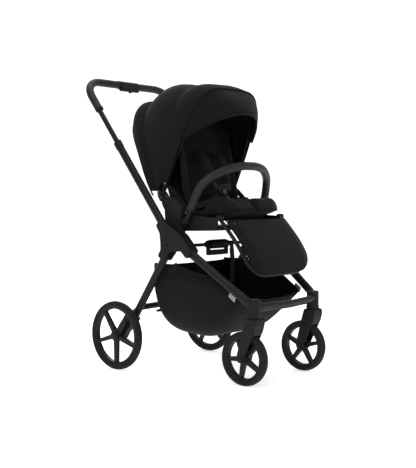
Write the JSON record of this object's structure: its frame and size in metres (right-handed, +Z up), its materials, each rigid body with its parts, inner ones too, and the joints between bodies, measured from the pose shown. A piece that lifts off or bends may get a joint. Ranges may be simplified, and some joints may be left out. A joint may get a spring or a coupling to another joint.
{
  "type": "baby stroller",
  "caption": "Folding baby stroller with a hooded seat unit, bumper bar, footrest, storage basket, swivelling front wheels and larger rear wheels.",
  "frame": {"origin": "floor point under the middle of the overall box, on the middle plane", "axes": "+Z up, -Y towards the front of the stroller (the way it is pushed), +X to the left of a person pushing it"},
  "size_m": [0.575, 0.8905, 1.15],
  "materials": {
    "frame_black": "satin powder coat",
    "moulded_black": "fine-grained moulded nylon",
    "rim_black": "satin moulding",
    "tyre_black": "foam-filled tyre skin",
    "axle_steel": "turned steel",
    "leather_black": "stitched imitation leather",
    "bracket_grey": "grey moulding",
    "cloth_black": "plain woven polyester",
    "basket_cloth": "lined cloth",
    "webbing_black": "woven webbing",
    "reflective_grey": "reflective tape"
  },
  "bodies": {
    "chassis": {"front_frame": "frame_black", "hub_left": "moulded_black", "hub_right": "moulded_black", "fold_rod": "frame_black", "fold_latch_housing": "moulded_black", "swivel_housing_left": "moulded_black", "swivel_housing_right": "moulded_black", "storage_basket": "basket_cloth", "basket_strap": "webbing_black", "basket_hangers": "basket_cloth", "reflector_tabs": "reflective_grey", "seat_adapter_left": "moulded_black", "seat_adapter_right": "moulded_black", "seat_bracket_left": "moulded_black", "seat_bracket_right": "moulded_black", "seat_shell": "moulded_black", "seat_pad": "cloth_black", "harness_buckle": "moulded_black", "crotch_strap": "webbing_black"},
    "fold_handle": {"fold_handle": "moulded_black"},
    "upper_frame": {"upper_tube_left": "frame_black", "upper_tube_right": "frame_black"},
    "handle": {"handle_tube": "frame_black", "handle_grip": "leather_black", "release_housing": "moulded_black"},
    "release_button": {"release_button": "moulded_black"},
    "rear_frame": {"rear_leg_left": "frame_black", "rear_leg_right": "frame_black", "rear_shoe_left": "moulded_black", "rear_shoe_right": "moulded_black", "rear_beam": "frame_black", "rear_axles": "axle_steel"},
    "brake": {"brake_pedal": "moulded_black"},
    "rear_wheel_left": {"rear_wheel_left_rim": "rim_black", "rear_wheel_left_tyre": "tyre_black"},
    "rear_wheel_right": {"rear_wheel_right_rim": "rim_black", "rear_wheel_right_tyre": "tyre_black"},
    "caster_left": {"front_fork_left": "moulded_black", "front_axle_left": "axle_steel"},
    "caster_right": {"front_fork_right": "moulded_black", "front_axle_right": "axle_steel"},
    "front_wheel_left": {"front_wheel_left_rim": "rim_black", "front_wheel_left_tyre": "tyre_black"},
    "front_wheel_right": {"front_wheel_right_rim": "rim_black", "front_wheel_right_tyre": "tyre_black"},
    "backrest": {"backrest_board": "moulded_black", "backrest_pad": "cloth_black", "canopy_bracket_left": "bracket_grey", "canopy_bracket_right": "bracket_grey", "shoulder_pads": "cloth_black", "canopy_fabric": "cloth_black"},
    "canopy_front": {"canopy_hoop": "moulded_black", "sun_visor": "cloth_black"},
    "canopy_middle": {"canopy_mid_rib": "moulded_black"},
    "canopy_rear": {"canopy_rear_rib": "moulded_black"},
    "bumper": {"bumper_bar": "frame_black", "bumper_grip": "leather_black"},
    "footrest": {"footrest_frame": "frame_black", "footrest_pad": "cloth_black"}
  },
  "joints": [
    {"name": "handle_fold", "type": "hinge", "parent": "chassis", "child": "upper_frame", "pos_m": [0, -0.03317, 0.5372], "axis": [1, 0, 0], "range_deg": [0, 128]},
    {"name": "rear_leg_fold", "type": "hinge", "parent": "chassis", "child": "rear_frame", "pos_m": [0, -0.03397, 0.4684], "axis": [1, 0, 0], "range_deg": [-43.8, 0], "deforming": ["storage_basket"]},
    {"name": "handle_height", "type": "slide", "parent": "upper_frame", "child": "handle", "axis": [0, 0.6129, 0.7902], "range_m": [-0.1, 0]},
    {"name": "release_press", "type": "slide", "parent": "handle", "child": "release_button", "axis": [0, 0.6129, 0.7902], "range_m": [0, 0.003], "stiffness_N_per_m": 800},
    {"name": "fold_lever_turn", "type": "hinge", "parent": "chassis", "child": "fold_handle", "pos_m": [0, -0.06747, 0.486], "axis": [1, 0, 0], "range_deg": [0, 40], "stiffness_Nm_per_rad": 0.6},
    {"name": "brake_press", "type": "hinge", "parent": "rear_frame", "child": "brake", "pos_m": [0, 0.17053, 0.2165], "axis": [1, 0, 0], "range_deg": [-16, 0]},
    {"name": "backrest_recline", "type": "hinge", "parent": "chassis", "child": "backrest", "pos_m": [0, -0.00547, 0.6], "axis": [1, 0, 0], "range_deg": [-38, 0]},
    {"name": "canopy_open", "type": "hinge", "parent": "backrest", "child": "canopy_front", "pos_m": [0, 0.03253, 0.664], "axis": [1, 0, 0], "range_deg": [-30, 0], "deforming": ["canopy_fabric"]},
    {"name": "canopy_mid_follow", "type": "hinge", "parent": "backrest", "child": "canopy_middle", "pos_m": [0, 0.03253, 0.664], "axis": [1, 0, 0], "range_deg": [-19.8, 0]},
    {"name": "canopy_rear_follow", "type": "hinge", "parent": "backrest", "child": "canopy_rear", "pos_m": [0, 0.03253, 0.664], "axis": [1, 0, 0], "range_deg": [-9, 0]},
    {"name": "bumper_tilt", "type": "hinge", "parent": "chassis", "child": "bumper", "pos_m": [0, -0.09517, 0.5772], "axis": [1, 0, 0], "range_deg": [0, 30]},
    {"name": "footrest_tilt", "type": "hinge", "parent": "chassis", "child": "footrest", "pos_m": [0, -0.23447, 0.592], "axis": [1, 0, 0], "range_deg": [-40, 12]},
    {"name": "caster_swivel_left", "type": "hinge", "parent": "chassis", "child": "caster_left", "pos_m": [0.1814, -0.39007, 0.245], "axis": [0, 0, 1], "continuous": true},
    {"name": "caster_swivel_right", "type": "hinge", "parent": "chassis", "child": "caster_right", "pos_m": [-0.1814, -0.39007, 0.245], "axis": [0, 0, 1], "continuous": true},
    {"name": "front_wheel_spin_left", "type": "hinge", "parent": "caster_left", "child": "front_wheel_left", "pos_m": [0.1814, -0.34747, 0.097], "axis": [1, 0, 0], "continuous": true},
    {"name": "front_wheel_spin_right", "type": "hinge", "parent": "caster_right", "child": "front_wheel_right", "pos_m": [-0.1814, -0.34747, 0.097], "axis": [1, 0, 0], "continuous": true},
    {"name": "rear_wheel_spin_left", "type": "hinge", "parent": "rear_frame", "child": "rear_wheel_left", "pos_m": [0.272, 0.21253, 0.1325], "axis": [1, 0, 0], "continuous": true},
    {"name": "rear_wheel_spin_right", "type": "hinge", "parent": "rear_frame", "child": "rear_wheel_right", "pos_m": [-0.272, 0.21253, 0.1325], "axis": [1, 0, 0], "continuous": true}
  ],
  "couplings": [
    {"joint": "rear_leg_fold", "follows": "handle_fold", "ratio": -0.342},
    {"joint": "canopy_mid_follow", "follows": "canopy_open", "ratio": 0.66},
    {"joint": "canopy_rear_follow", "follows": "canopy_open", "ratio": 0.3}
  ]
}
